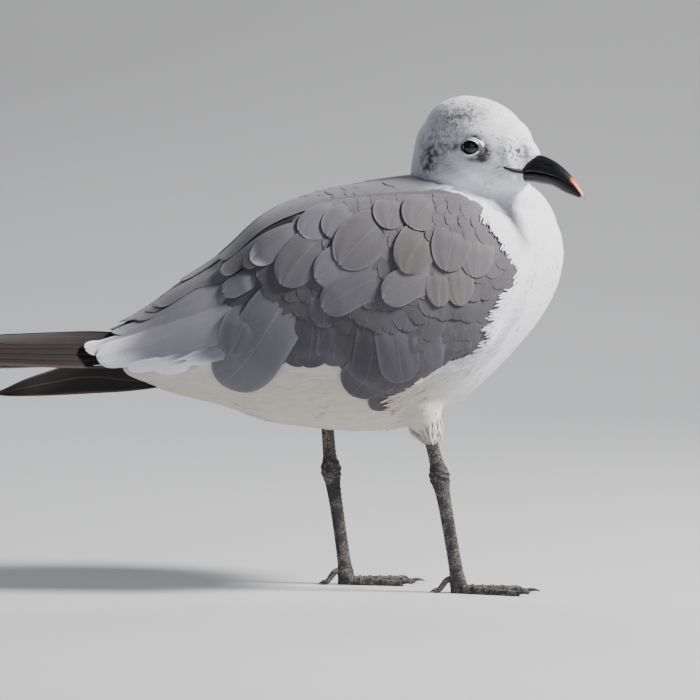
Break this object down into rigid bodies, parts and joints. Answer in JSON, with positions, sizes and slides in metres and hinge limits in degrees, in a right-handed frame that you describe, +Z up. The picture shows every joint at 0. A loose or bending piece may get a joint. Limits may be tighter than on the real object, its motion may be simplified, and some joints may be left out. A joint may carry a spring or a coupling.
{
  "type": "laughing gull",
  "caption": "Life-size still model of a standing laughing gull in non-breeding plumage, wings folded, head turned a little to its right, resting on its webbed feet.",
  "frame": {"origin": "on the floor under the middle of the bird's length and width", "axes": "+X the way the body faces, +Y to the bird's left, +Z up"},
  "size_m": [0.3306, 0.1146, 0.2325],
  "materials": {
    "body_plumage": "matte",
    "white_feather": "matte",
    "grey_feather": "matte",
    "dark_feather": "matte",
    "bill_horn": "satin",
    "claw_horn": "satin",
    "eye": "gloss",
    "leg_skin": "satin"
  },
  "bodies": {
    "root": {"head": "body_plumage", "neck": "body_plumage", "trunk": "body_plumage", "rump": "white_feather", "tail": "white_feather", "mantle": "grey_feather", "wing_right": "grey_feather", "wing_left": "grey_feather", "primaries_right": "dark_feather", "primaries_left": "dark_feather", "loose_primary_left": "dark_feather", "bill_upper": "bill_horn", "bill_lower": "bill_horn", "eye_right": "eye", "eye_left": "eye", "thigh_right": "body_plumage", "shank_right": "leg_skin", "foot_right": "leg_skin", "hind_toe_right": "leg_skin", "claw_inner_right": "claw_horn", "claw_middle_right": "claw_horn", "claw_outer_right": "claw_horn", "thigh_left": "body_plumage", "shank_left": "leg_skin", "foot_left": "leg_skin", "hind_toe_left": "leg_skin", "claw_inner_left": "claw_horn", "claw_middle_left": "claw_horn", "claw_outer_left": "claw_horn"}
  },
  "joints": []
}
